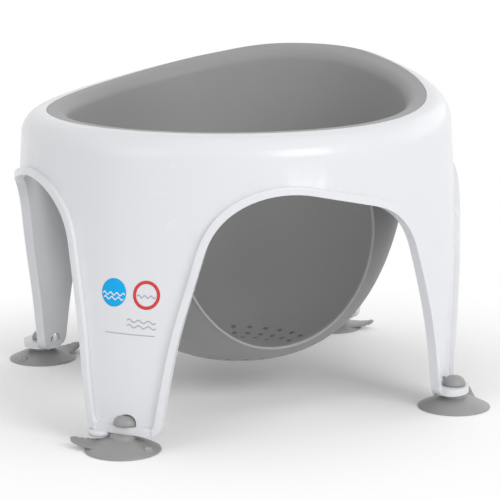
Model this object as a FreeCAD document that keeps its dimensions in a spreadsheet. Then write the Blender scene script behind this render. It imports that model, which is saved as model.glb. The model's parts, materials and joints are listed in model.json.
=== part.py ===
import FreeCAD, Part
import math
import os

import Sketcher
from FreeCAD import Placement, Rotation, Vector

# A baby bath seat: a white moulded stand with four legs, a soft bucket seat held in its mouth
# and a suction cup under each leg. Millimetres, +Z up, the floor at zero, the baby faces -Y.

SIZES = [
    ("floor_level", 0, "height at which the lowest outline of the stand is measured"),
    ("floor_half_width", 155.4, "stand, middle to outer face at that height, sideways"),
    ("floor_front", 179.2, "the same to the front"),
    ("floor_back", 178, "the same to the back"),
    ("knee_level", 70, "height of the next outline, where the legs start to flare"),
    ("knee_half_width", 154.2, "stand, middle to outer face at that height, sideways"),
    ("knee_front", 175, "the same to the front"),
    ("knee_back", 169.5, "the same to the back"),
    ("crown_level", 135, "height of the next outline, near the tops of the arches"),
    ("crown_half_width", 152.4, "stand, middle to outer face at that height, sideways"),
    ("crown_front", 165.7, "the same to the front"),
    ("crown_back", 158, "the same to the back"),
    ("rim_level", 200, "height of the outline near the rim"),
    ("rim_half_width", 148.5, "stand, middle to outer face at that height, sideways"),
    ("rim_front", 160.5, "the same to the front"),
    ("rim_back", 150.5, "the same to the back"),
    ("peak_level", 290, "height to which the face is drawn on before the rim cuts it"),
    ("peak_half_width", 143.5, "stand, middle to outer face at that height, sideways"),
    ("peak_front", 156.5, "the same to the front"),
    ("peak_back", 141.5, "the same to the back"),
    ("stand_wall", 3, "wall of the stand"),
    ("shoulder_radius", 16, "round shoulder between the stand's face and its rim"),
    ("mouth_half_width", 131.5, "mouth of the stand, sideways"),
    ("mouth_front", 144.5, "mouth, to the front"),
    ("mouth_back", 134.5, "mouth, to the back"),
    ("front_height", 201, "height of the rim at the front"),
    ("back_height", 233.5, "height of the rim at the back"),
    ("rim_power", 3.5, "how late the rim climbs towards the back"),
    ("ledge_thickness", 3, "thickness of the ledge in the mouth that carries the seat"),
    ("arch_turn", 45, "direction in which the arches are cut, from the side"),
    ("arch_plane", 130, "distance from the middle at which the arch's outline is measured"),
    ("arch_near", 60, "distance from the middle at which the cut of an arch starts"),
    ("arch_front_foot", 98, "arch, from its middle to the edge of the front leg at the foot"),
    ("arch_front_bend", 86, "the same at the bend of the leg's edge"),
    ("arch_front_bend_height", 73, "height of that bend"),
    ("arch_front_crown", 55.5, "corner of the crown beside the front leg, before rounding"),
    ("arch_front_crown_height", 175.3, "height of that corner"),
    ("arch_side_crown", 57, "corner of the crown beside the side leg, before rounding"),
    ("arch_side_crown_height", 145.2, "height of that corner"),
    ("arch_side_bend", 94.5, "arch, from its middle to the bend of the side leg's edge"),
    ("arch_side_bend_height", 56, "height of that bend"),
    ("arch_side_foot", 106.6, "the same at the foot of the side leg"),
    ("arch_front_round", 51, "radius of the crown beside the front leg"),
    ("arch_side_round", 55, "radius of the crown beside the side leg"),
    ("arch_bend_round", 300, "radius of the bends in the legs' edges"),
    ("foot_round", 9, "radius of the lower corners of the legs"),
    ("lip_width", 5, "width of the raised lip round each arch and foot"),
    ("lip_height", 3.5, "height of that lip over the face"),
    ("foot_height", 10.5, "underside of the foot plates over the floor"),
    ("foot_plate", 5, "thickness of the foot plates"),
    ("tongue_radius", 14, "round tongue of a foot plate about its cup"),
    ("window_radius", 9.2, "arched window over a foot plate, for the head of the cup"),
    ("window_depth", 30, "reach of that window, in from the cup's middle"),
    ("cup_reach_front", 182, "front and back cups, from the middle"),
    ("cup_reach_side", 163, "side cups, from the middle"),
    ("cup_radius", 25, "suction cup"),
    ("cup_edge", 1, "thickness of the cup at its edge"),
    ("cup_ring", 3, "width of the flat ring on which the cup stands"),
    ("cup_slope_radius", 16, "radius at which the cup's slope bends"),
    ("cup_slope_height", 5, "height of that bend"),
    ("cup_crown", 7.6, "height of the cup where its collar starts"),
    ("cup_hollow", 4, "height of the hollow under the cup"),
    ("collar_radius", 8, "collar under the foot plate"),
    ("neck_radius", 6, "neck of the cup in the foot plate"),
    ("neck_play", 0.2, "room round the neck"),
    ("head_radius", 8.7, "head of the cup on the foot plate"),
    ("head_height", 8.4, "height of that head"),
    ("head_round", 6, "how far the rounding of the head's upper edge reaches in and down"),
    ("head_bevel", 2.2, "the same at the middle of that rounding"),
    ("tab_root", 14, "root of the pull tab, from the cup's middle"),
    ("tab_length", 33, "pull tab, from the cup's middle to its tip"),
    ("tab_half_width", 10, "pull tab at its root, from its middle"),
    ("tab_height", 2.4, "underside of the pull tab over the floor"),
    ("tab_thickness", 2, "thickness of the pull tab"),
    ("tab_tip", 2.5, "the same at the tab's tip"),
    ("seat_wall", 3, "wall of the seat"),
    ("seat_play", 0.3, "room between the seat and the stand"),
    ("seat_margin", 11.5, "seat's outer wall, in from the edge of the mouth"),
    ("seat_bottom", 20.6, "lowest point of the seat over the floor"),
    ("bowl_level", 186, "height above which the seat's wall stands upright"),
    ("seat_shift", 6.7, "how far the seat's bottom lies behind its top"),
    ("bowl_power", 2.02, "how the bowl's walls straighten towards the top"),
    ("bowl_fullness", 2.68, "how full the bowl is near its bottom"),
    ("bowl_flat", 0.25, "share of the bowl's width that is flat at the bottom"),
    ("rim_lip", 3, "thickness of the seat's rim on the ledge"),
    ("rim_roll", 9, "radius with which the seat's rim rolls inwards"),
    ("opening_shift", 8.4, "leg opening, from the arch's middle towards the front leg"),
    ("opening_level", 123, "height of the middle of the leg opening"),
    ("opening_width", 67.5, "smaller half axis of the leg opening"),
    ("opening_height", 85.3, "larger half axis of the leg opening"),
    ("opening_tilt", 26.5, "lean of the leg opening"),
    ("opening_top", 174, "level upper edge of the leg opening"),
    ("opening_corner", 16, "radius of the opening's upper corners"),
    ("drain_radius", 2, "drain hole in the seat's floor"),
    ("drain_row_inner", 29.8, "radius of the inner row of drain holes"),
    ("drain_row_middle", 39.5, "radius of the middle row"),
    ("drain_row_outer", 48.8, "radius of the outer row"),
    ("drain_step_inner", 18.5, "turn from hole to hole in the inner row"),
    ("drain_step_outer", 14.5, "the same in the other two rows"),
]

RIM_POINTS = 32
BOWL_SHARES = (0.4, 0.55, 0.7, 0.8, 0.88, 0.94, 0.98, 1.0)
NECK_STEPS = 4
LEVELS = ("floor", "knee", "crown", "rim", "peak")
TOP = 290
REACH = 240

doc = FreeCAD.newDocument("bath_seat")
sheet = doc.addObject("Spreadsheet::Sheet", "Sizes")
for row, (alias, value, note) in enumerate(SIZES, start=1):
    sheet.set(f"A{row}", alias)
    sheet.set(f"B{row}", str(value))
    sheet.set(f"C{row}", note)
    sheet.setAlias(f"B{row}", alias)
doc.recompute()


def size(alias):
    """The value of one size in the sheet."""
    return float(sheet.get(alias))


def total(words):
    """The sum of some sizes, given by their names, each with a minus before it if it counts down."""
    return sum(-size(word[1:]) if word[0] == "-" else size(word) for word in words.split())


def formula(words):
    """The same sum as an expression in the sheet's cells."""
    return " + ".join("-1 * Sizes." + word[1:] if word[0] == "-" else "Sizes." + word for word in words.split())


def add(kind, name, **properties):
    """Add one feature to the document and set its properties."""
    item = doc.addObject(kind, name)
    for key, value in properties.items():
        setattr(item, key, value)
    return item


def solid(name, shape):
    """A feature that holds a shape worked out from the sizes."""
    return add("Part::Feature", name, Shape=shape)


def common(name, *items):
    """What all the items share."""
    return add("Part::MultiCommon", name, Shapes=list(items))


def fuse(name, *items):
    """The items as one."""
    return add("Part::MultiFuse", name, Shapes=list(items))


def cut(name, base, *tools):
    """The base without the tools."""
    for number, tool in enumerate(tools):
        base = add("Part::Cut", f"{name}_{number}", Base=base, Tool=tool)
    return base


def mirror(name, source, normal):
    """A mirror image across the middle plane with that normal."""
    return add("Part::Mirroring", name, Source=source, Normal=normal)


def all_four(item):
    """The item at the front right and its images at the other three corners."""
    pair = [item, mirror(item.Name + "_left", item, Vector(1, 0, 0))]
    return pair + [mirror(one.Name + "_back", one, Vector(0, 1, 0)) for one in pair]


def egg(half_width, front, back, height=0.0, shift=0.0):
    """A closed outline at one height: half an ellipse to the back and half a longer one to the front."""
    halves = []
    for start, reach in ((0, back), (180, front)):
        scale = FreeCAD.Matrix()
        scale.scale(half_width, reach, 1)
        scale.move(Vector(0, shift, height))
        halves.append(Part.makeCircle(1, Vector(), Vector(0, 0, 1), start, start + 180).transformGeometry(scale))
    return Part.Wire(halves)


def stand_block(name, offset):
    """The full block inside the stand's outer face, moved out by the offset."""
    sections = []
    for level in LEVELS:
        reach = [size(f"{level}_{side}") + offset for side in ("half_width", "front", "back")]
        sections.append(solid(f"{name}_{level}", egg(*reach, size(level + "_level"))))
    return add("Part::Loft", name, Sections=sections, Solid=True, Ruled=False)


def rim_height(y):
    """Height of the rim at a place between front and back."""
    span = size("mouth_front") + size("mouth_back")
    share = min(max((y + size("mouth_front")) / span, 0), 1)
    return size("front_height") + (size("back_height") - size("front_height")) * share ** size("rim_power")


def under_rim(name, drop):
    """Everything below the rim's curve, lowered by the drop."""
    points = []
    for step in range(RIM_POINTS + 1):
        y = REACH * (2 * step / RIM_POINTS - 1)
        points.append(Vector(-REACH, y, rim_height(y) - drop))
    curve = Part.BSplineCurve()
    curve.interpolate(points)
    low = [Vector(-REACH, REACH, -1), Vector(-REACH, -REACH, -1)]
    outline = Part.Wire([curve.toShape(), Part.makeLine(points[-1], low[0]),
                         Part.makeLine(*low), Part.makeLine(low[1], points[0])])
    return solid(name, Part.Face(outline).extrude(Vector(2 * REACH, 0, 0)))


def mouth_block(name, inset):
    """An upright block inside the mouth's outline, moved in by the inset."""
    outline = egg(*(size("mouth_" + side) - inset for side in ("half_width", "front", "back")))
    return solid(name, Part.Face(outline).extrude(Vector(0, 0, TOP)))


def round_edges(name, base, choose, radius):
    """Round the edges of a feature that the test picks."""
    doc.recompute()
    picked = [(number, radius, radius) for number, edge in enumerate(base.Shape.Edges, start=1) if choose(edge)]
    return add("Part::Fillet", name, Base=base, Edges=picked)


def is_rim_edge(edge):
    """True for the edge where a block's side meets its curved top."""
    box = edge.BoundBox
    return box.ZMin > size("front_height") / 2 and box.XLength > size("mouth_half_width")


def is_level_with_rim(edge, inset):
    """True for an edge near the rim that runs inside the mouth by that sum of sizes."""
    box = edge.BoundBox
    return abs(box.XLength - 2 * (size("mouth_half_width") - total(inset))) < 1 and box.ZMin > size("rim_level") - 5


def draw_polygon(sketch, corners):
    """A closed outline in a sketch, each corner held by two sums of sizes; an empty sum is an axis."""
    points = [Vector(total(across), total(up)) for across, up in corners]
    count = len(points)
    for here in range(count):
        sketch.addGeometry(Part.LineSegment(points[here], points[(here + 1) % count]), False)
    for here in range(count):
        sketch.addConstraint(Sketcher.Constraint("Coincident", here, 2, (here + 1) % count, 1))
    for here, (across, up) in enumerate(corners):
        for kind, words, value, axis in (("DistanceX", across, points[here].x, -2),
                                         ("DistanceY", up, points[here].y, -1)):
            if words:
                number = sketch.addConstraint(Sketcher.Constraint(kind, -1, 1, here, 1, value))
                sketch.setExpression(f"Constraints[{number}]", formula(words))
            else:
                sketch.addConstraint(Sketcher.Constraint("PointOnObject", here, 1, axis))


def arch_corners():
    """The arch's corners: names of the sizes across and up, and each one's radius."""
    bend, foot = size("arch_bend_round"), -size("foot_round")
    return [
        ("-arch_front_foot", "foot_height", foot),
        ("-arch_front_bend", "arch_front_bend_height", bend),
        ("-arch_front_crown", "arch_front_crown_height", size("arch_front_round")),
        ("arch_side_crown", "arch_side_crown_height", size("arch_side_round")),
        ("arch_side_bend", "arch_side_bend_height", bend),
        ("arch_side_foot", "foot_height", foot),
    ]


def round_prism(name, prism, corners):
    """Round a prism's long edges, each found by a place near it and given its radius."""
    doc.recompute()
    long_edges = [(number, edge.BoundBox.Center) for number, edge in enumerate(prism.Shape.Edges, start=1)
                  if edge.BoundBox.ZLength > edge.BoundBox.DiagonalLength * 0.99]
    picked = []
    for across, up, radius in corners:
        number, _ = min(long_edges, key=lambda item: math.hypot(item[1].x - across, item[1].y - up))
        picked.append((number, radius, radius))
    return add("Part::Fillet", name, Base=prism, Edges=picked)


def face_arch(item):
    """Stand a flat-made prism up so that it looks out through the front right arch."""
    turn = math.radians(size("arch_turn"))
    across = Vector(math.sin(turn), math.cos(turn), 0)
    outward = Vector(math.cos(turn), -math.sin(turn), 0)
    item.Placement = Placement(Vector(), Rotation(across, Vector(0, 0, 1), outward, "XYZ"))
    return item


def arch_block(name, outline, grow):
    """One arch as a solid to cut with, its corners grown by the same width as its outline.

    It widens away from the middle, so that it cuts the stand's wall squarely all along the arch.
    """
    prism = add("Part::Extrusion", name + "_prism", Base=outline, DirMode="Custom", Dir=Vector(0, 0, 1),
                LengthFwd=REACH, Solid=True)
    corners = [(total(across), total(up), abs(radius + grow)) for across, up, radius in arch_corners()]
    rounded = round_prism(name + "_rounded", prism, corners)
    doc.recompute()
    end = min(rounded.Shape.Faces, key=lambda face: face.BoundBox.ZMax)
    sections = []
    for tag, distance in (("near", size("arch_near")), ("far", REACH)):
        scale = FreeCAD.Matrix()
        scale.scale(distance / size("arch_plane"), 1, 1)
        scale.move(Vector(0, 0, distance))
        sections.append(face_arch(solid(f"{name}_{tag}", end.OuterWire.transformGeometry(scale))))
    return add("Part::Loft", name, Sections=sections, Solid=True, Ruled=True)


def cup_places():
    """Each cup's name, its middle on the floor and the direction of its pull tab."""
    front, side = size("cup_reach_front"), size("cup_reach_side")
    return [
        ("suction_cup_front", Vector(0, -front, 0), -165),
        ("suction_cup_right", Vector(side, 0, 0), 95),
        ("suction_cup_back", Vector(0, front, 0), 14),
        ("suction_cup_left", Vector(-side, 0, 0), 66),
    ]


def cup_cylinders(name, radius, bottom, height):
    """An upright cylinder about the middle of each cup."""
    return solid(name, Part.makeCompound([Part.makeCylinder(radius, height, place + Vector(0, 0, bottom))
                                          for _, place, _ in cup_places()]))


def window_cylinders(name, height):
    """A level cylinder from each cup in towards the middle."""
    shapes = []
    for _, place, _ in cup_places():
        inward = Vector(place).multiply(-1).normalize()
        shapes.append(Part.makeCylinder(size("window_radius"), size("window_depth"),
                                        place + Vector(0, 0, height), inward))
    return solid(name, Part.makeCompound(shapes))


def bowl_block(name, wall):
    """The bowl as a full block inside its outer face, or inside its wall."""
    bottom, margin = size("seat_bottom") + wall, size("seat_margin") + wall
    full = [size("mouth_" + side) - margin for side in ("half_width", "front", "back")]
    sections = []
    for number, share in enumerate((size("bowl_flat"),) + BOWL_SHARES):
        climb = 1 - (1 - share ** size("bowl_fullness")) ** (1 / size("bowl_power"))
        height = bottom + climb * (size("bowl_level") - bottom)
        reach = [share * one for one in full]
        sections.append(solid(f"{name}_{number}", egg(*reach, height, size("seat_shift") * (1 - climb))))
    for number in range(1, NECK_STEPS + 1):
        rise = height + number * (TOP - height) / NECK_STEPS
        sections.append(solid(f"{name}_neck_{number}", egg(*full, rise)))
    return add("Part::Loft", name, Sections=sections, Solid=True, Ruled=False)


def opening_block(name):
    """One leg opening as a solid to cut with: a leaning oval with a level upper edge."""
    oval = egg(size("opening_width"), size("opening_height"), size("opening_height"))
    oval.rotate(Vector(), Vector(0, 0, 1), size("opening_tilt"))
    oval.translate(Vector(-size("opening_shift"), size("opening_level"), 0))
    prism = Part.Face(oval).extrude(Vector(0, 0, REACH))
    above = Part.makeBox(2 * REACH, REACH, REACH, Vector(-REACH, size("opening_top"), 0))
    block = prism.cut(above)
    corners = [edge for edge in block.Edges if edge.BoundBox.ZLength > REACH * 0.99
               and edge.BoundBox.YMin > size("opening_top") - 1]
    return face_arch(solid(name, block.makeFillet(size("opening_corner"), corners)))


def drain_holes(name):
    """The drain holes in rows on arcs about the bowl's middle, behind it and before it."""
    rows = (("inner", 1, "inner"), ("middle", 3, "outer"), ("outer", 3, "outer"))
    shapes = []
    for row, reach, step in rows:
        radius, turn = size("drain_row_" + row), size("drain_step_" + step)
        for number in range(-reach, reach + 1):
            for middle in (90, -90):
                angle = math.radians(middle + number * turn)
                place = Vector(radius * math.cos(angle), radius * math.sin(angle), 0)
                shapes.append(Part.makeCylinder(size("drain_radius"), size("rim_level") / 2, place))
    return solid(name, Part.makeCompound(shapes))


def suction_cup(name, place, turn):
    """A suction cup with its collar, neck, head and pull tab."""
    cup = add("PartDesign::Body", name)
    plane = {item.Role: item for item in cup.Origin.OriginFeatures}
    outline = cup.newObject("Sketcher::SketchObject", name + "_outline")
    outline.AttachmentSupport = (plane["XZ_Plane"], [""])
    outline.MapMode = "FlatFace"
    doc.recompute()
    draw_polygon(outline, [
        ("", "cup_hollow"),
        ("cup_radius -cup_ring", ""),
        ("cup_radius", ""),
        ("cup_radius", "cup_edge"),
        ("cup_slope_radius", "cup_slope_height"),
        ("collar_radius", "cup_crown"),
        ("collar_radius", "foot_height"),
        ("neck_radius", "foot_height"),
        ("neck_radius", "foot_height foot_plate"),
        ("head_radius", "foot_height foot_plate"),
        ("head_radius", "foot_height foot_plate head_height -head_round"),
        ("head_radius -head_bevel", "foot_height foot_plate head_height -head_bevel"),
        ("head_radius -head_round", "foot_height foot_plate head_height"),
        ("", "foot_height foot_plate head_height"),
    ])
    doc.recompute()
    turned = cup.newObject("PartDesign::Revolution", name + "_turned")
    turned.Profile = outline
    turned.ReferenceAxis = (outline, ["V_Axis"])
    turned.Angle = 360
    doc.recompute()
    tab_outline = cup.newObject("Sketcher::SketchObject", name + "_tab_outline")
    tab_outline.AttachmentSupport = (plane["XY_Plane"], [""])
    tab_outline.MapMode = "FlatFace"
    tab_outline.setExpression("AttachmentOffset.Base.z", "Sizes.tab_height")
    doc.recompute()
    draw_polygon(tab_outline, [
        ("tab_root", "-tab_half_width"),
        ("tab_length", "-tab_tip"),
        ("tab_length", "tab_tip"),
        ("tab_root", "tab_half_width"),
    ])
    doc.recompute()
    tab = cup.newObject("PartDesign::Pad", name + "_tab")
    tab.Profile = tab_outline
    tab.setExpression("Length", "Sizes.tab_thickness")
    doc.recompute()
    cup.Placement = Placement(place, Rotation(Vector(0, 0, 1), turn))
    return cup


# The stand's outer form with its lips, then its hollow, mouth, arches and feet

foot_height = size("foot_height")
foot_top = foot_height + size("foot_plate")

outer = common("outer_low", stand_block("outer_block", 0.0), under_rim("under_rim", 0.0))
outer = round_edges("outer_rounded", outer, is_rim_edge, size("shoulder_radius"))

core = common("core_low", stand_block("core_block", -size("stand_wall")),
              under_rim("under_roof", size("stand_wall")))
core = round_edges("core_rounded", core, is_rim_edge, size("shoulder_radius") - size("stand_wall"))
skin = cut("skin", outer, core)
wing = " foot_round lip_width"
far_wing = " -foot_round -lip_width"
arch_outline = add("Sketcher::SketchObject", "arch_outline")
draw_polygon(arch_outline, [("-arch_front_foot" + far_wing, "-foot_height"),
                            ("-arch_front_foot" + far_wing, "foot_height")]
             + [(across, up) for across, up, _ in arch_corners()]
             + [("arch_side_foot" + wing, "foot_height"), ("arch_side_foot" + wing, "-foot_height")])
doc.recompute()
lip_outline = add("Part::Offset2D", "lip_outline", Source=arch_outline, Value=size("lip_width"), Join=2)
arch = arch_block("arch", arch_outline, 0.0)
ring = cut("ring", arch_block("border", lip_outline, size("lip_width")), arch)
arches, rings = all_four(arch), all_four(ring)

slab = add("Part::Box", "slab", Width=2 * REACH, Length=2 * REACH)
slab.setExpression("Height", "Sizes.foot_plate")
slab.Placement.Base = Vector(-REACH, -REACH, foot_height)
below = add("Part::Box", "below_feet", Width=2 * REACH, Length=2 * REACH)
below.setExpression("Height", "2 * Sizes.foot_height")
below.Placement.Base = Vector(-REACH, -REACH, -foot_height)

mid_wall = -size("stand_wall") / 2
lip_shell = cut("lip_shell", stand_block("lip_block", size("lip_height")), stand_block("lip_core", mid_wall))
lips = [common(f"lip_{number}", lip_shell, one) for number, one in enumerate(rings)]

collar = common("collar_block", mouth_block("collar_outline", -size("stand_wall")),
                under_rim("under_half_roof", size("stand_wall") / 2))
collar = cut("collar", collar, under_rim("under_ledge", size("rim_lip") + size("ledge_thickness")))
recess = cut("recess", mouth_block("mouth", 0.0), under_rim("under_lip", size("rim_lip")))
ledge_inset = size("seat_margin") - size("rim_roll") + size("seat_wall") - size("seat_play")
well = mouth_block("well", ledge_inset)
tongues = cup_cylinders("tongues", size("tongue_radius"), foot_height, size("foot_plate"))
necks = cup_cylinders("neck_holes", size("neck_radius") + size("neck_play"), 0.0, foot_top + 1)
windows = cut("windows", window_cylinders("window_cylinders", foot_top), slab)
stand = cut("stand_arched", fuse("skin_and_band", skin, common("foot_band", lip_shell, slab)), *arches)
stand = fuse("stand_body", stand, *lips)
stand = fuse("stand_more", stand, collar, tongues)
stand = cut("stand", stand, recess, well, necks, windows, below)

# Seat: bowl and rim, leg openings, drain holes

bowl = common("bowl_low", bowl_block("bowl_outer", 0.0), under_rim("under_seat_rim", 0.0))
rim_plate = common("rim_plate_block", mouth_block("rim_plate_outline", size("seat_play")),
                   under_rim("under_plate_top", 0.0))
rim_plate = cut("rim_plate", rim_plate, under_rim("under_plate", size("rim_lip")))
seat = fuse("seat_block", bowl, rim_plate)
seat = round_edges("seat_corner", seat, lambda edge: is_level_with_rim(edge, "seat_margin"),
                   size("rim_roll") - size("seat_wall"))
seat = cut("seat_hollow", seat, bowl_block("bowl_inner", size("seat_wall")))
seat = round_edges("seat_rolled", seat, lambda edge: is_level_with_rim(edge, "seat_margin seat_wall"),
                   size("rim_roll"))
opening = opening_block("opening")
openings = [opening, mirror("opening_left", opening, Vector(1, 0, 0))]
seat = cut("seat_open", seat, *openings, drain_holes("drain_holes"))

# The suction cups, and each piece checked and written

cups = [suction_cup(*one) for one in cup_places()]
nodes = {"stand": stand, "seat": seat}
nodes.update({cup.Name: cup for cup in cups})
doc.recompute()

failed = [item.Name for item in doc.Objects if {"Invalid", "Error"} & set(item.State)]
for name, item in nodes.items():
    item.Label = name
    if item.Shape.isNull() or not item.Shape.isValid() or len(item.Shape.Solids) != 1:
        failed.append(name)
if failed:
    raise RuntimeError("these came out wrong: " + ", ".join(failed))

os.makedirs("parts", exist_ok=True)
for name, item in nodes.items():
    item.Shape.exportStep(f"parts/{name}.step")
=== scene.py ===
"""A baby bath seat: white moulded stand, soft grey bucket seat and grey suction cups, in a pale studio."""
from __future__ import annotations

import json
import logging
import math
from collections.abc import Callable, Iterable, Sequence
from dataclasses import dataclass, field
from enum import Enum

import bmesh
import bpy
from mathutils import Matrix, Vector
from mathutils.bvhtree import BVHTree

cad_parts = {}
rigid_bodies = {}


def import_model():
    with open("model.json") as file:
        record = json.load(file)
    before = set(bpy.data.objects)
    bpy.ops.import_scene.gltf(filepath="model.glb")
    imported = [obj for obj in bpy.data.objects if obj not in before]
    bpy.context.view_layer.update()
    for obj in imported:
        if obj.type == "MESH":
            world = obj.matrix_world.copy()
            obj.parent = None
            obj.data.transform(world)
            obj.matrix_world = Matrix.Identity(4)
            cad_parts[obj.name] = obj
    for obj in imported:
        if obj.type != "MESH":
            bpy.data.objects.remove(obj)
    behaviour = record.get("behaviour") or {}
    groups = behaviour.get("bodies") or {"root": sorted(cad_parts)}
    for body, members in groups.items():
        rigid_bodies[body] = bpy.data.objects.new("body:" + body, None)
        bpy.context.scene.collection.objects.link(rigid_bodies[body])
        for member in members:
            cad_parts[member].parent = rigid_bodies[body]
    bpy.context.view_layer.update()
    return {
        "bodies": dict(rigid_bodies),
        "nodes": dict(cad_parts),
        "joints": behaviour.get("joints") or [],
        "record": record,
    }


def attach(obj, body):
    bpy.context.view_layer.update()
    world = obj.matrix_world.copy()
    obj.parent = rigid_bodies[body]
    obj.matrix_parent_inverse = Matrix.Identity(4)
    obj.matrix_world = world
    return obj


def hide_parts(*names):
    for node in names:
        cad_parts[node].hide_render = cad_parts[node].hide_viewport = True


log = logging.getLogger("bath_seat")

MM = 0.001
WELD = 0.01 * MM
FINE_WELD = 0.001 * MM
MOULD_ANGLE = math.radians(32)
OPENING_ANGLE = math.radians(40)
SMOOTH_ANGLE = math.radians(50)
ROW_POINTS = 64
DISC_STEPS = 5

Pair = tuple[float, float]
Triple = tuple[float, float, float]


def grey(level: float) -> Triple:
    """A colour without hue."""
    return (level, level, level)


def cover(tone: Triple) -> tuple[float, float, float, float]:
    """A colour with full cover."""
    return (*tone, 1.0)


class NodeBoard:
    """A node tree for a material or the world, with short ways to add and join nodes."""

    def __init__(self, owner: bpy.types.Material | bpy.types.World, output: str = "OutputMaterial") -> None:
        """Clear the owner's nodes.

        Args:
            owner: The material or world.
            output: The type of its output node, without its ShaderNode prefix.
        """
        owner.use_nodes = True
        self.tree = owner.node_tree
        self.tree.nodes.clear()
        self.output = self.add(output)

    def add(self, kind: str, **values: object) -> bpy.types.Node:
        """Add a node.

        Args:
            kind: The node's type, without its ShaderNode prefix.
            **values: Its input sockets by name, with _ for a blank, or its properties.

        Returns:
            The new node.
        """
        node = self.tree.nodes.new("ShaderNode" + kind)
        for key, value in values.items():
            socket = node.inputs.get(key.replace("_", " "))
            if socket is not None:
                socket.default_value = value
            else:
                setattr(node, key, value)
        return node

    def join(self, source: bpy.types.Node, output: str | int, target: bpy.types.Node,
             socket: str | int) -> None:
        """Join one node's output to another's input."""
        self.tree.links.new(source.outputs[output], target.inputs[socket])

    def ramp(self, source: bpy.types.Node, stops: Iterable[tuple[float, Triple]]) -> bpy.types.Node:
        """A colour ramp that reads a noise.

        Args:
            source: The noise.
            stops: The place and the colour of both stops, in order.

        Returns:
            The ramp's node.
        """
        node = self.add("ValToRGB")
        for element, (place, tone) in zip(node.color_ramp.elements, stops):
            element.position = place
            element.color = cover(tone)
        self.join(source, "Fac", node, "Fac")
        return node

    def seen(self) -> bpy.types.Node:
        """A node that gives 1 to what the camera sees, also by reflection or through glass.

        Returns:
            The last of the joined nodes.
        """
        path = self.add("LightPath")
        either = self.add("Math", operation="MAXIMUM")
        self.join(path, "Is Camera Ray", either, 0)
        self.join(path, "Is Glossy Ray", either, 1)
        widest = self.add("Math", operation="MAXIMUM")
        self.join(either, 0, widest, 0)
        self.join(path, "Is Transmission Ray", widest, 1)
        return widest


@dataclass(frozen=True)
class Finish:
    """A moulded finish: its colours, gloss and fine surface. Depths in metres."""

    name: str
    tone: Triple
    tone_far: Triple
    roughness: Pair
    grain_scale: float
    grain_depth: float
    grain_strength: float
    coat: float = 0.0
    sheen: float = 0.0
    specular: float = 0.5
    wave: float = 0.0
    wave_depth: float = 0.002
    tone_stops: Pair = (0.35, 0.65)
    gloss_stops: Pair = (0.3, 0.7)

    def material(self) -> bpy.types.Material:
        """The finish as a material.

        Returns:
            A material made of nodes only.
        """
        material = bpy.data.materials.new(self.name)
        board = NodeBoard(material)
        place = board.add("TexCoord")
        drift = board.add("TexNoise", Scale=9.0, Detail=3.0, Roughness=0.5)
        board.join(place, "Object", drift, "Vector")
        shade = board.ramp(drift, zip(self.tone_stops, (self.tone, self.tone_far)))
        gloss = board.ramp(drift, zip(self.gloss_stops, map(grey, self.roughness)))
        grain = board.add("TexNoise", Scale=self.grain_scale, Detail=2.0, Roughness=0.6)
        board.join(place, "Object", grain, "Vector")
        bump = board.add("Bump", Strength=self.grain_strength, Distance=self.grain_depth)
        board.join(grain, "Fac", bump, "Height")
        if self.wave:
            slow = board.add("TexNoise", Scale=14.0, Detail=1.0, Roughness=0.4)
            board.join(place, "Object", slow, "Vector")
            flow = board.add("Bump", Strength=self.wave, Distance=self.wave_depth)
            board.join(slow, "Fac", flow, "Height")
            board.join(flow, "Normal", bump, "Normal")
        surface = board.add("BsdfPrincipled", Coat_Weight=self.coat, Coat_Roughness=0.04,
                            Sheen_Weight=self.sheen, Sheen_Roughness=0.4,
                            Specular_IOR_Level=self.specular)
        board.join(shade, "Color", surface, "Base Color")
        board.join(gloss, "Color", surface, "Roughness")
        board.join(bump, "Normal", surface, "Normal")
        board.join(surface, "BSDF", board.output, "Surface")
        return material


GLOSS_WHITE = Finish("gloss_white", (0.755, 0.762, 0.79), (0.765, 0.772, 0.80), (0.24, 0.28),
                     900.0, 0.00002, 0.10, coat=0.12, specular=0.38)
SOFT_GREY = Finish("soft_grey", grey(0.297), grey(0.311), (0.48, 0.56),
                   2600.0, 0.00004, 0.35, sheen=0.1)
# The bead's grey is lighter than the seat's: a painted highlight for the light caught by the rounded rim of
# each leg opening.
BEAD_PAINTED_HIGHLIGHT = Finish("bead_painted_highlight", grey(0.36), grey(0.38), (0.36, 0.42), 900.0, 0.00002, 0.1)
CUP_GREY = Finish("cup_grey", grey(0.288), (0.315, 0.315, 0.313), (0.34, 0.42),
                  1500.0, 0.00003, 0.25, wave=0.05)


class Ink(Enum):
    """The inks of the prints on the front leg."""

    BLUE = Finish("ink_blue", (0.0, 0.40, 0.85), (0.0, 0.42, 0.87), (0.34, 0.38),
                  1200.0, 0.00001, 0.1, specular=0.2)
    RED = Finish("ink_red", (0.62, 0.05, 0.055), (0.65, 0.06, 0.06), (0.34, 0.38),
                 1200.0, 0.00001, 0.1, specular=0.2)
    GREY = Finish("ink_grey", (0.41, 0.42, 0.50), (0.44, 0.45, 0.53), (0.30, 0.36),
                  1200.0, 0.00001, 0.1)
    WHITE = Finish("ink_white", (0.80, 0.81, 0.83), (0.83, 0.84, 0.86), (0.28, 0.34),
                   1200.0, 0.00001, 0.1)


@dataclass(frozen=True)
class Viewpoint:
    """Where the photograph was taken from, in millimetres, degrees and pixels."""

    place: Triple = (559.358, -1244.43, 373.257)
    turn: float = 23.868
    dip: float = 11.444
    focus: float = 1945.603
    frame: float = 500.0
    sensor: float = 36.0

    def turned(self) -> Matrix:
        """The camera's rotation."""
        return (Matrix.Rotation(math.radians(self.turn), 3, "Z")
                @ Matrix.Rotation(math.radians(90 - self.dip), 3, "X"))

    def ray(self, across: float, down: float) -> tuple[Vector, Vector]:
        """The line of sight through one pixel.

        Args:
            across: The pixel's place from the left.
            down: Its place from the top.

        Returns:
            The camera's place in metres and the line's direction.
        """
        aim = Vector((across - self.frame / 2, self.frame / 2 - down, -self.focus))
        return Vector(self.place) * MM, (self.turned() @ aim).normalized()


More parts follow.
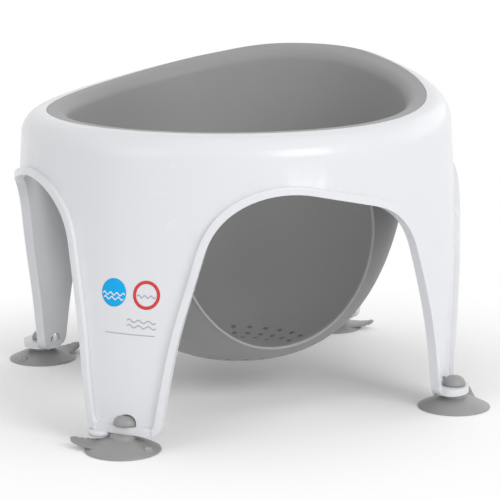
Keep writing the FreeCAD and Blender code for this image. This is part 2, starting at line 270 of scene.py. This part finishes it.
VIEW = Viewpoint()


def as_object(name: str, mesh: bpy.types.Mesh, material: bpy.types.Material) -> bpy.types.Object:
    """Show a mesh as an object with one material.

    Args:
        name: The object's name.
        mesh: Its mesh.
        material: Its finish.

    Returns:
        The new object.
    """
    mesh.materials.append(material)
    item = bpy.data.objects.new(name, mesh)
    bpy.context.scene.collection.objects.link(item)
    return item


def finished(name: str, work: bmesh.types.BMesh, material: bpy.types.Material,
             sharp: float | None = None) -> bpy.types.Object:
    """Turn a work mesh into a smooth object, and free it.

    Args:
        name: The object's name.
        work: The work mesh.
        material: Its finish.
        sharp: The angle from which an edge stays sharp, if any does.

    Returns:
        The new object.
    """
    mesh = bpy.data.meshes.new(name)
    work.to_mesh(mesh)
    work.free()
    mesh.shade_smooth()
    if sharp is not None:
        mesh.set_sharp_from_angle(angle=sharp)
    return as_object(name, mesh, material)


def declare(piece: bpy.types.Object, slot: str, *nodes: str) -> None:
    """Hang a new piece on the root body, and hide the nodes that it stands for.

    Args:
        piece: The new piece.
        slot: The record's material slot; not used.
        *nodes: Names of the replaced nodes.
    """
    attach(piece, "root")
    for node in nodes:
        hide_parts(node)
    log.info("%s made", piece.name)


def welded(source: bpy.types.Object) -> bmesh.types.BMesh:
    """Copy a model piece's mesh and join its double points.

    Args:
        source: The model piece.

    Returns:
        The work mesh.
    """
    work = bmesh.new()
    work.from_mesh(source.data)
    bmesh.ops.remove_doubles(work, verts=work.verts, dist=WELD)
    return work


def rounded(name: str, source: bpy.types.Object, material: bpy.types.Material, width: float,
            reshape: Callable[[bmesh.types.BMesh], None] | None = None) -> bpy.types.Object:
    """A copy of a model piece whose sharp edges are rounded as moulding leaves them.

    Args:
        name: The new piece's name.
        source: The model piece.
        material: Its finish.
        width: How far the rounding reaches from an edge.
        reshape: What else changes its shape before that.

    Returns:
        The new piece.
    """
    work = welded(source)
    if reshape:
        reshape(work)
        bmesh.ops.dissolve_degenerate(work, edges=work.edges, dist=WELD)
    piece = finished(name, work, material, MOULD_ANGLE)
    bevel = piece.modifiers.new("edges", "BEVEL")
    bevel.width = width
    bevel.segments = 2
    bevel.limit_method = "ANGLE"
    bevel.angle_limit = MOULD_ANGLE
    bevel.harden_normals = True
    return piece


def revolve(work: bmesh.types.BMesh, outline: Sequence[Pair], segments: int) -> None:
    """Turn an outline about the upright axis.

    Args:
        work: The mesh to add to.
        outline: Each point's distance from the axis and its height.
        segments: How many steps the turn has.
    """
    turns = [math.tau * part / segments for part in range(segments)]
    rings = []
    for reach, height in outline:
        if reach == 0:
            rings.append([work.verts.new((0, 0, height))])
        else:
            rings.append([work.verts.new((reach * math.cos(turn), reach * math.sin(turn), height))
                          for turn in turns])
    for low, high in zip(rings, rings[1:]):
        for part in range(segments):
            after = (part + 1) % segments
            corners = (low[part % len(low)], low[after % len(low)],
                       high[after % len(high)], high[part % len(high)])
            work.faces.new(list(dict.fromkeys(corners)))


@dataclass
class Print:
    """A thin print that follows the face of the front leg. Sizes in millimetres."""

    name: str
    middle: Pair
    ink: Ink
    rows: list[list[Pair]]
    closed: bool = False
    lift: float = 0.12
    film: float = 0.08
    ahead: float = 400.0

    def build(self, face: BVHTree) -> None:
        """Lay the print on the leg.

        Args:
            face: The stand's surface.
        """
        start, aim = VIEW.ray(*self.middle)
        spot, _, _, _ = face.ray_cast(start, aim)
        sheet = bmesh.new()
        grid = [[sheet.verts.new(self.settle(face, spot.x + across * MM, spot.z + up * MM))
                 for across, up in row] for row in self.rows]
        for low, high in zip(grid, grid[1:]):
            count = len(low)
            for here in range(count if self.closed else count - 1):
                there = (here + 1) % count
                sheet.faces.new((low[here], low[there], high[there], high[here]))
        bmesh.ops.remove_doubles(sheet, verts=sheet.verts, dist=FINE_WELD)
        bmesh.ops.recalc_face_normals(sheet, faces=sheet.faces)
        piece = finished(self.name, sheet, self.ink.value.material())
        film = piece.modifiers.new("film", "SOLIDIFY")
        film.thickness = self.film * MM
        film.offset = 0.0
        declare(piece, "frame_white")

    def settle(self, face: BVHTree, across: float, up: float) -> Vector:
        """A point just over the leg's face.

        Args:
            face: The stand's surface.
            across: The point's place to the side, in metres.
            up: Its height, in metres.

        Returns:
            The point.
        """
        start = Vector((across, -self.ahead * MM, up))
        spot, normal, _, _ = face.ray_cast(start, Vector((0, 1, 0)))
        return spot + normal * self.lift * MM


def disc_rows(outer: float, inner: float = 0.0) -> list[list[Pair]]:
    """Rows of points for a disc or a ring.

    Args:
        outer: Its radius.
        inner: The radius of its hole.

    Returns:
        The rows, from the hole outwards.
    """
    reaches = [inner + (outer - inner) * step / DISC_STEPS for step in range(DISC_STEPS + 1)]
    turns = [math.tau * part / ROW_POINTS for part in range(ROW_POINTS)]
    return [[(reach * math.cos(turn), reach * math.sin(turn)) for turn in turns]
            for reach in reaches]


def wave_rows(length: float, width: float, swell: float = 0.0, waves: float = 0.0,
              slope: float = 0.0, up: float = 0.0) -> list[list[Pair]]:
    """Rows of points for a line or a wave.

    Args:
        length: Its length.
        width: Its width.
        swell: How high each wave is.
        waves: How many waves it has.
        slope: How far it climbs from end to end.
        up: How high its middle lies.

    Returns:
        Its lower edge, its middle and its upper edge.
    """
    shares = [part / ROW_POINTS for part in range(ROW_POINTS + 1)]
    return [[(length * (share - 0.5),
              up + slope * (share - 0.5) + side * width
              + swell / 2 * math.sin(math.tau * waves * share)) for share in shares]
            for side in (-0.5, 0.0, 0.5)]


BLUE_SPOT = (114.0, 292.3)
RED_SPOT = (146.4, 295.3)


@dataclass
class Stand:
    """The white one-piece stand with the prints on its front leg. Sizes in millimetres.

    The band is the lowest part of a leg's wall, the plate is what the suction cup clamps, and the
    tongue is the plate's round end outside the band.
    """

    node: str = "stand"
    edge: float = 0.7
    band_front: float = 182.6
    band_side: float = 158.8
    band_inner: float = 179.8
    plate_span: Pair = (10.2, 15.8)
    front_cup: float = 182.0
    front_reach: float = 20.0
    hole_reach: float = 7.0
    side_cup: float = 163.0
    side_tongue: float = 9.5
    tongue_reach: Pair = (12.0, 16.0)
    foot_top: float = 40.0
    window: float = 9.2
    window_level: float = 15.5
    window_slack: Pair = (0.12, 0.1)
    window_front: Pair = (8.1, 7.6)
    window_side: Pair = (7.4, 5.2)
    window_lean: float = 0.32
    lug_place: Pair = (-18.2, -177.2)
    lug_outline: tuple[Pair, ...] = (
        (0.0, 6.8), (7.0, 6.8), (8.1, 7.2), (8.6, 8.2), (8.6, 9.9), (8.0, 10.5), (0.0, 10.6))
    lug_segments: int = 40
    prints: list[Print] = field(default_factory=lambda: [
        Print("print_blue_disc", BLUE_SPOT, Ink.BLUE, disc_rows(9.0), closed=True),
        Print("print_blue_wave_low", BLUE_SPOT, Ink.WHITE,
              wave_rows(14.6, 1.0, 1.6, 3.0, up=-3.6), lift=0.25),
        Print("print_blue_wave_high", BLUE_SPOT, Ink.WHITE,
              wave_rows(16.4, 1.0, 1.6, 3.5, up=-0.9), lift=0.25),
        Print("print_red_ring", RED_SPOT, Ink.RED, disc_rows(9.2, 7.1), closed=True),
        Print("print_red_wave", RED_SPOT, Ink.GREY, wave_rows(12.6, 0.9, 1.5, 3.0, up=-1.0)),
        Print("print_wave_high", (141.0, 321.9), Ink.GREY,
              wave_rows(20.0, 0.75, 1.7, 3.0, slope=-0.4)),
        Print("print_wave_low", (141.0, 327.3), Ink.GREY,
              wave_rows(20.0, 0.75, 1.7, 3.0, slope=-0.4)),
        Print("print_level", (129.2, 334.4), Ink.GREY, wave_rows(35.0, 0.45)),
    ])

    def build(self, frame: dict) -> None:
        """Make the stand and its prints.

        Args:
            frame: The loaded model.
        """
        white = GLOSS_WHITE.material()
        piece = rounded("stand_shell", frame["nodes"][self.node], white, self.edge * MM,
                        self.shape_feet)
        declare(piece, "frame_white", self.node)
        work = bmesh.new()
        work.from_mesh(piece.data)
        face = BVHTree.FromBMesh(work)
        work.free()
        for one in self.prints:
            one.build(face)
        self.make_lug(white)

    def shape_feet(self, work: bmesh.types.BMesh) -> None:
        """Give the feet the windows and the tongues that the photograph shows.

        Args:
            work: The stand's mesh.
        """
        low, high = (level * MM for level in self.plate_span)
        for vert in work.verts:
            self.draw_window_in(vert.co)
            if low < vert.co.z < high:
                self.trim_front_tongue(vert.co)
                self.trim_right_tongue(vert.co)

    def draw_window_in(self, point: Vector) -> None:
        """Narrow the arched windows over the feet to the size that the photograph shows.

        Args:
            point: A point of the stand's mesh, which moves if it lies on a window's edge.
        """
        along_x = abs(point.x) > abs(point.y)
        across = point.y if along_x else point.x
        level = self.window_level * MM
        off_edge = abs(math.hypot(across, point.z - level) - self.window * MM)
        beside, below = (slack * MM for slack in self.window_slack)
        if off_edge >= beside or not level - below < point.z < self.foot_top * MM:
            return
        wide, tall = self.window_side if along_x else self.window_front
        across *= wide / self.window
        point.z = level + (point.z - level) * tall / self.window
        if along_x:
            point.y = across
        else:
            point.x = across + (self.window_lean * (point.z - level) if point.y < 0 else 0.0)

    def trim_front_tongue(self, point: Vector) -> None:
        """Draw the front foot's tongue in to the band, and its hole to the band's inner face.

        Args:
            point: A point of the foot plates, which moves if it belongs to the front tongue.
        """
        if point.y < 0 and abs(point.x) < self.front_reach * MM:
            in_hole = math.hypot(point.x, point.y + self.front_cup * MM) < self.hole_reach * MM
            reach = self.band_inner if in_hole else self.band_front
            band = -reach * MM * math.sqrt(1 - (point.x / (self.band_side * MM)) ** 2)
            point.y = max(point.y, band)

    def trim_right_tongue(self, point: Vector) -> None:
        """Draw the right foot's tongue in to a smaller circle.

        Args:
            point: A point of the foot plates, which moves if it belongs to the right tongue.
        """
        middle = Vector((self.side_cup * MM, 0, point.z))
        away = point - middle
        near, far = (reach * MM for reach in self.tongue_reach)
        if near < away.length < far and point.x > self.band_side * MM:
            drawn = middle.x + away.x * self.side_tongue * MM / away.length
            point.x = max(drawn, self.band_side * MM)

    def make_lug(self, material: bpy.types.Material) -> None:
        """The rounded lug under the band of the front foot.

        Args:
            material: The stand's finish.
        """
        work = bmesh.new()
        revolve(work, self.lug_outline, self.lug_segments)
        bmesh.ops.recalc_face_normals(work, faces=work.faces)
        here = Matrix.Translation(Vector((*self.lug_place, 0)) * MM) @ Matrix.Scale(MM, 4)
        bmesh.ops.transform(work, matrix=here, verts=work.verts)
        declare(finished("foot_lug", work, material, SMOOTH_ANGLE), "frame_white")


@dataclass
class Seat:
    """The soft bucket seat. Sizes in millimetres."""

    node: str = "seat"
    edge: float = 1.25
    bead: float = 0.95
    bead_sides: int = 10
    opening_length: Pair = (440.0, 600.0)

    def build(self, frame: dict) -> None:
        """Make the seat.

        Args:
            frame: The loaded model.
        """
        source = frame["nodes"][self.node]
        piece = rounded("seat_shell", source, SOFT_GREY.material(), self.edge * MM)
        declare(piece, "seat_grey", self.node)
        self.add_bead(source)

    def add_bead(self, source: bpy.types.Object) -> None:
        """Lay a thin rounded bead along the outer edge of each leg opening, in a lighter grey that paints
        the highlight on the rim.

        Args:
            source: The seat's node, whose sharp edges are followed.
        """
        mesh = welded(source)
        work = bmesh.new()
        for loop in self.opening_loops(mesh):
            self.sweep(work, loop)
        mesh.free()
        bmesh.ops.recalc_face_normals(work, faces=work.faces)
        # The bead's finish is lighter than the seat's: painted highlight along the opening's edge.
        declare(finished("seat_bead", work, BEAD_PAINTED_HIGHLIGHT.material()), "seat_grey")

    def opening_loops(self, mesh: bmesh.types.BMesh) -> list[list[bmesh.types.BMVert]]:
        """Find the closed sharp edges that are as long as the outer edge of a leg opening.

        Args:
            mesh: The seat's mesh.

        Returns:
            The points of each such edge, in order.
        """
        loops = []
        shortest, longest = self.opening_length
        sharp = {edge for edge in mesh.edges
                 if len(edge.link_faces) == 2 and edge.calc_face_angle(0) > OPENING_ANGLE}
        for first in mesh.edges:
            if first not in sharp:
                continue
            sharp.discard(first)
            loop, length = list(first.verts), first.calc_length()
            while loop[-1] is not loop[0]:
                following = [edge for edge in loop[-1].link_edges if edge in sharp]
                if not following:
                    break
                sharp.discard(following[0])
                length += following[0].calc_length()
                loop.append(following[0].other_vert(loop[-1]))
            if loop[-1] is loop[0] and shortest * MM < length < longest * MM:
                loops.append(loop[:-1])
        return loops

    def sweep(self, work: bmesh.types.BMesh, loop: list[bmesh.types.BMVert]) -> None:
        """Draw a round section along a closed loop.

        Args:
            work: The mesh to add to.
            loop: The loop's points in order.
        """
        turns = [math.tau * step / self.bead_sides for step in range(self.bead_sides)]
        rings = []
        for index, vert in enumerate(loop):
            along = (loop[(index + 1) % len(loop)].co - loop[index - 1].co).normalized()
            out = (vert.normal - along * vert.normal.dot(along)).normalized()
            side = along.cross(out)
            rings.append([work.verts.new(
                vert.co + (out * math.cos(turn) + side * math.sin(turn)) * self.bead * MM)
                for turn in turns])
        for index, ring in enumerate(rings):
            before = rings[index - 1]
            for step in range(self.bead_sides):
                work.faces.new((before[step - 1], before[step], ring[step], ring[step - 1]))


@dataclass(frozen=True)
class PullTab:
    """A pull tab that narrows and curls up towards its tip. Sizes in millimetres."""

    stations: int = 26
    around: int = 20
    start: float = 15.0
    length: float = 19.2
    flare: float = 9.4
    taper: float = 0.9
    tip_width: float = 2.9
    tip_start: float = 0.93
    tip_round: float = 0.8
    level: float = 3.1
    curl: float = 3.0
    curl_power: float = 2.4
    thickness: float = 1.15
    thickening: float = 0.25
    end_start: float = 0.95
    end_thinning: float = 0.65
    ribs: int = 6
    rib_height: float = 0.22
    rib_span: Pair = (0.4, 0.9)
    squareness: float = 0.55

    def add(self, work: bmesh.types.BMesh) -> None:
        """Draw the tab.

        Args:
            work: The mesh to add to.
        """
        rings = []
        for step in range(self.stations + 1):
            share = step / self.stations
            height = self.level + self.curl * share ** self.curl_power
            wide, thick = self.half_width(share), self.half_thickness(share)
            turns = (math.tau * part / self.around for part in range(self.around))
            rings.append([work.verts.new((self.start + self.length * share,
                                          wide * self.squared(math.cos(turn)),
                                          height + thick * self.squared(math.sin(turn))))
                          for turn in turns])
        for low, high in zip(rings, rings[1:]):
            for part in range(self.around):
                after = (part + 1) % self.around
                work.faces.new((low[part], low[after], high[after], high[part]))
        for end in (rings[0], rings[-1]):
            work.faces.new(end)

    def half_width(self, share: float) -> float:
        """How far the tab reaches to each side.

        Args:
            share: The place along the tab, from 0 to 1.

        Returns:
            Half its width there.
        """
        half = self.flare * (1 - share) ** self.taper + self.tip_width
        if share < self.tip_start:
            return half
        past = (share - self.tip_start) / (1 - self.tip_start)
        return half * math.sqrt(1 - past ** 2 * self.tip_round)

    def half_thickness(self, share: float) -> float:
        """How far the tab reaches up and down, with the grip ribs.

        Args:
            share: The place along the tab, from 0 to 1.

        Returns:
            Half its thickness there.
        """
        first, last = self.rib_span
        ribbed = first < share < last
        rib = self.rib_height * math.cos(math.tau * share * self.ribs) if ribbed else 0.0
        thinning = 1.0 if share < self.end_start else self.end_thinning
        return (self.thickness + self.thickening * share + rib) * thinning

    def squared(self, value: float) -> float:
        """Draw a circle's side towards a rounded square's."""
        return math.copysign(abs(value) ** self.squareness, value)


@dataclass(frozen=True)
class ThumbMark:
    """A small oval pad near the cup's edge with a raised arrowhead on it. Sizes in millimetres."""

    steps: int = 20
    start: float = 17.0
    length: float = 6.0
    half_width: float = 3.9
    end_width: float = 0.02
    level: float = 4.9
    fall: float = 2.8
    thickness: float = 0.9
    dome: float = 0.75
    dome_fade: float = 1.6
    ridge: float = 1.5
    ridge_fade: float = 1.5
    ridge_place: float = 0.72
    ridge_sweep: float = 0.42
    ridge_width: float = 0.09

    def point(self, out: float, side: float) -> Vector:
        """A point of the pad's upper face.

        Args:
            out: Its place outwards, from 0 to 1.
            side: Its place to the side, from -1 to 1.

        Returns:
            The point, for a pad that lies on the x axis.
        """
        half = math.sqrt(max(1 - (2 * out - 1) ** 2, 0.0)) + self.end_width
        dome = self.dome * math.sqrt(max(1 - side * side, 0.0)) * min(half * self.dome_fade, 1.0)
        off_ridge = (out - self.ridge_place + self.ridge_sweep * abs(side)) / self.ridge_width
        ridge = self.ridge * math.exp(-off_ridge ** 2) * (1 - side ** 4)
        lift = self.level - self.fall * out + dome + ridge * min(half * self.ridge_fade, 1.0)
        return Vector((self.start + self.length * out, side * self.half_width * half, lift))

    def add(self, work: bmesh.types.BMesh, angle: float) -> None:
        """Draw the pad.

        Args:
            work: The mesh to add to.
            angle: Its direction from the cup's middle, in degrees.
        """
        steps = self.steps
        turn = Matrix.Rotation(math.radians(angle), 3, "Z")
        upper = [[work.verts.new(turn @ self.point(row / steps, 2 * column / steps - 1))
                  for column in range(steps + 1)] for row in range(steps + 1)]
        lower = [[work.verts.new(vert.co - Vector((0, 0, self.thickness))) for vert in line]
                 for line in upper]
        for sheet in (upper, lower):
            for inner, outer in zip(sheet, sheet[1:]):
                for column in range(steps):
                    work.faces.new((inner[column], inner[column + 1],
                                    outer[column + 1], outer[column]))
        rim = ([(0, column) for column in range(steps)] + [(row, steps) for row in range(steps)]
               + [(steps, column) for column in range(steps, 0, -1)]
               + [(row, 0) for row in range(steps, 0, -1)])
        for (row, column), (next_row, next_column) in zip(rim, rim[1:] + rim[:1]):
            work.faces.new((upper[row][column], upper[next_row][next_column],
                            lower[next_row][next_column], lower[row][column]))


@dataclass
class SuctionCup:
    """One suction cup with its knob, its pull tab and its thumb mark.

    Sizes in millimetres. The directions of the tab and of the mark are in degrees from +x.
    """

    side: str
    place: Pair
    turn: float
    mark: float
    knob_shift: float = 0.0
    cup_outline: tuple[Pair, ...] = (
        (0.0, 3.9), (7.0, 3.7), (14.0, 2.2), (20.0, 0.5), (22.0, 0.0), (24.3, 0.0),
        (24.9, 0.35), (24.8, 0.9), (23.6, 1.6), (20.5, 3.1), (17.0, 4.7), (13.0, 6.2),
        (9.8, 7.2), (8.3, 7.8), (8.05, 8.6), (8.0, 10.0), (7.6, 10.45), (0.0, 10.45))
    knob_outline: tuple[Pair, ...] = (
        (0.0, 10.0), (4.2, 10.0), (4.2, 15.6), (7.3, 15.6), (7.8, 16.1), (7.8, 17.2),
        (7.3, 18.8), (6.2, 20.3), (4.4, 21.5), (2.2, 22.1), (0.0, 22.3))
    segments: int = 72

    def build(self, material: bpy.types.Material) -> None:
        """Make the cup.

        Args:
            material: Its finish.
        """
        work = bmesh.new()
        revolve(work, self.knob_outline, self.segments)
        place = Vector((*self.place, 0))
        outward = Matrix.Rotation(math.radians(-self.turn), 3, "Z") @ place.normalized()
        bmesh.ops.translate(work, vec=-outward * self.knob_shift, verts=work.verts)
        revolve(work, self.cup_outline, self.segments)
        PullTab().add(work)
        ThumbMark().add(work, self.mark - self.turn)
        bmesh.ops.recalc_face_normals(work, faces=work.faces)
        here = Matrix.Translation(place * MM) @ Matrix.Rotation(math.radians(self.turn), 4, "Z")
        bmesh.ops.transform(work, matrix=here @ Matrix.Scale(MM, 4), verts=work.verts)
        piece = finished("cup_" + self.side, work, material, SMOOTH_ANGLE)
        declare(piece, "cup_grey", "suction_cup_" + self.side)


@dataclass
class SuctionCups:
    """The four suction cups."""

    cups: list[SuctionCup] = field(default_factory=lambda: [
        SuctionCup("front", (0, -182), -165, mark=-6, knob_shift=4.2),
        SuctionCup("right", (163, 0), 95, mark=140),
        SuctionCup("back", (0, 182), 14, mark=194),
        SuctionCup("left", (-163, 0), 66, mark=252),
    ])

    def build(self) -> None:
        """Make the cups."""
        finish = CUP_GREY.material()
        for cup in self.cups:
            cup.build(finish)


@dataclass(frozen=True)
class SoftBox:
    """A lamp with a wide face that looks at the seat. Sizes in metres, power in watts."""

    name: str
    place: Triple
    extent: Pair
    power: float
    aim: Triple = (0.0, 0.0, 0.12)

    def build(self) -> None:
        """Make the lamp."""
        light = bpy.data.lights.new(self.name, "AREA")
        light.shape = "RECTANGLE"
        light.size, light.size_y = self.extent
        light.energy = self.power
        lamp = bpy.data.objects.new(self.name, light)
        lamp.location = self.place
        look = Vector(self.aim) - Vector(self.place)
        lamp.rotation_euler = look.to_track_quat("-Z", "Y").to_euler()
        bpy.context.scene.collection.objects.link(lamp)


@dataclass
class Studio:
    """Floor, lamps, world and camera. Sizes in metres."""

    floor_reach: float = 9.0
    floor_tone: float = 0.93
    floor_seen: float = 1.05
    floor_fade: Pair = (0.13, 0.36)
    world_soft: float = 0.62
    camera_clip: Pair = (0.05, 30.0)
    lamps: list[SoftBox] = field(default_factory=lambda: [
        SoftBox("key", (2.3, -1.05, 1.35), (1.4, 1.4), 28.5),
        SoftBox("fill", (-0.9, -2.0, 1.0), (1.2, 1.6), 6.5),
        SoftBox("top", (0.3, 0.1, 2.1), (1.8, 1.8), 3.0),
        SoftBox("back", (0.9, 1.9, 1.0), (2.0, 1.0), 4.0),
    ])

    def build(self) -> None:
        """Make the floor, the lamps, the world and the camera."""
        self.make_floor()
        for lamp in self.lamps:
            lamp.build()
        self.make_world()
        self.make_camera()
        bpy.context.scene.view_settings.view_transform = "Standard"
        log.info("studio ready")

    def make_floor(self) -> None:
        """A wide floor that keeps the shadow and turns plain white farther off."""
        reach = self.floor_reach
        mesh = bpy.data.meshes.new("floor")
        mesh.from_pydata([(-reach, -reach, 0), (reach, -reach, 0), (reach, reach, 0),
                          (-reach, reach, 0)], [], [(0, 1, 2, 3)])
        as_object("floor", mesh, self.floor_material())

    def floor_material(self) -> bpy.types.Material:
        """A matt white, lighter to the camera, that fades to plain white around the seat.

        Returns:
            The floor's material.
        """
        first_colour, second_colour, mixed_colour = 6, 7, 2
        material = bpy.data.materials.new("floor_white")
        board = NodeBoard(material)
        seen = board.seen()
        matte = board.add("BsdfDiffuse")
        shade = board.add("Mix", data_type="RGBA")
        shade.inputs[first_colour].default_value = cover(grey(self.floor_tone))
        shade.inputs[second_colour].default_value = cover(grey(self.floor_seen))
        board.join(seen, 0, shade, 0)
        board.join(shade, mixed_colour, matte, "Color")
        place = board.add("TexCoord")
        away = board.add("VectorMath", operation="LENGTH")
        board.join(place, "Object", away, 0)
        near, far = self.floor_fade
        fade = board.add("MapRange", interpolation_type="SMOOTHSTEP", From_Min=near, From_Max=far)
        board.join(away, "Value", fade, "Value")
        share = board.add("Math", operation="MULTIPLY")
        board.join(fade, 0, share, 0)
        board.join(seen, 0, share, 1)
        plain = board.add("Emission", Strength=1.0, Color=cover(grey(1.0)))
        mix = board.add("MixShader")
        board.join(share, 0, mix, 0)
        board.join(matte, "BSDF", mix, 1)
        board.join(plain, 0, mix, 2)
        board.join(mix, 0, board.output, "Surface")
        return material

    def make_world(self) -> None:
        """A soft white world, plain white where the camera sees it."""
        world = bpy.data.worlds.new("world")
        board = NodeBoard(world, "OutputWorld")
        soft = board.add("Background", Strength=self.world_soft, Color=cover(grey(1.0)))
        plain = board.add("Background", Strength=1.0, Color=cover(grey(1.0)))
        mix = board.add("MixShader")
        board.join(board.seen(), 0, mix, 0)
        board.join(soft, 0, mix, 1)
        board.join(plain, 0, mix, 2)
        board.join(mix, 0, board.output, "Surface")
        bpy.context.scene.world = world

    def make_camera(self) -> None:
        """The camera at the photograph's place and angle."""
        data = bpy.data.cameras.new("camera")
        data.sensor_width = VIEW.sensor
        data.lens = VIEW.focus * VIEW.sensor / VIEW.frame
        data.clip_start, data.clip_end = self.camera_clip
        camera = bpy.data.objects.new("camera", data)
        camera.location = Vector(VIEW.place) * MM
        camera.rotation_euler = VIEW.turned().to_euler()
        bpy.context.scene.collection.objects.link(camera)
        bpy.context.scene.camera = camera


def main() -> None:
    """Load the model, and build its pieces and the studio."""
    logging.basicConfig(level=logging.INFO, format="%(name)s: %(message)s")
    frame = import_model()
    Stand().build(frame)
    Seat().build(frame)
    SuctionCups().build()
    Studio().build()


if __name__ == "__main__":
    main()
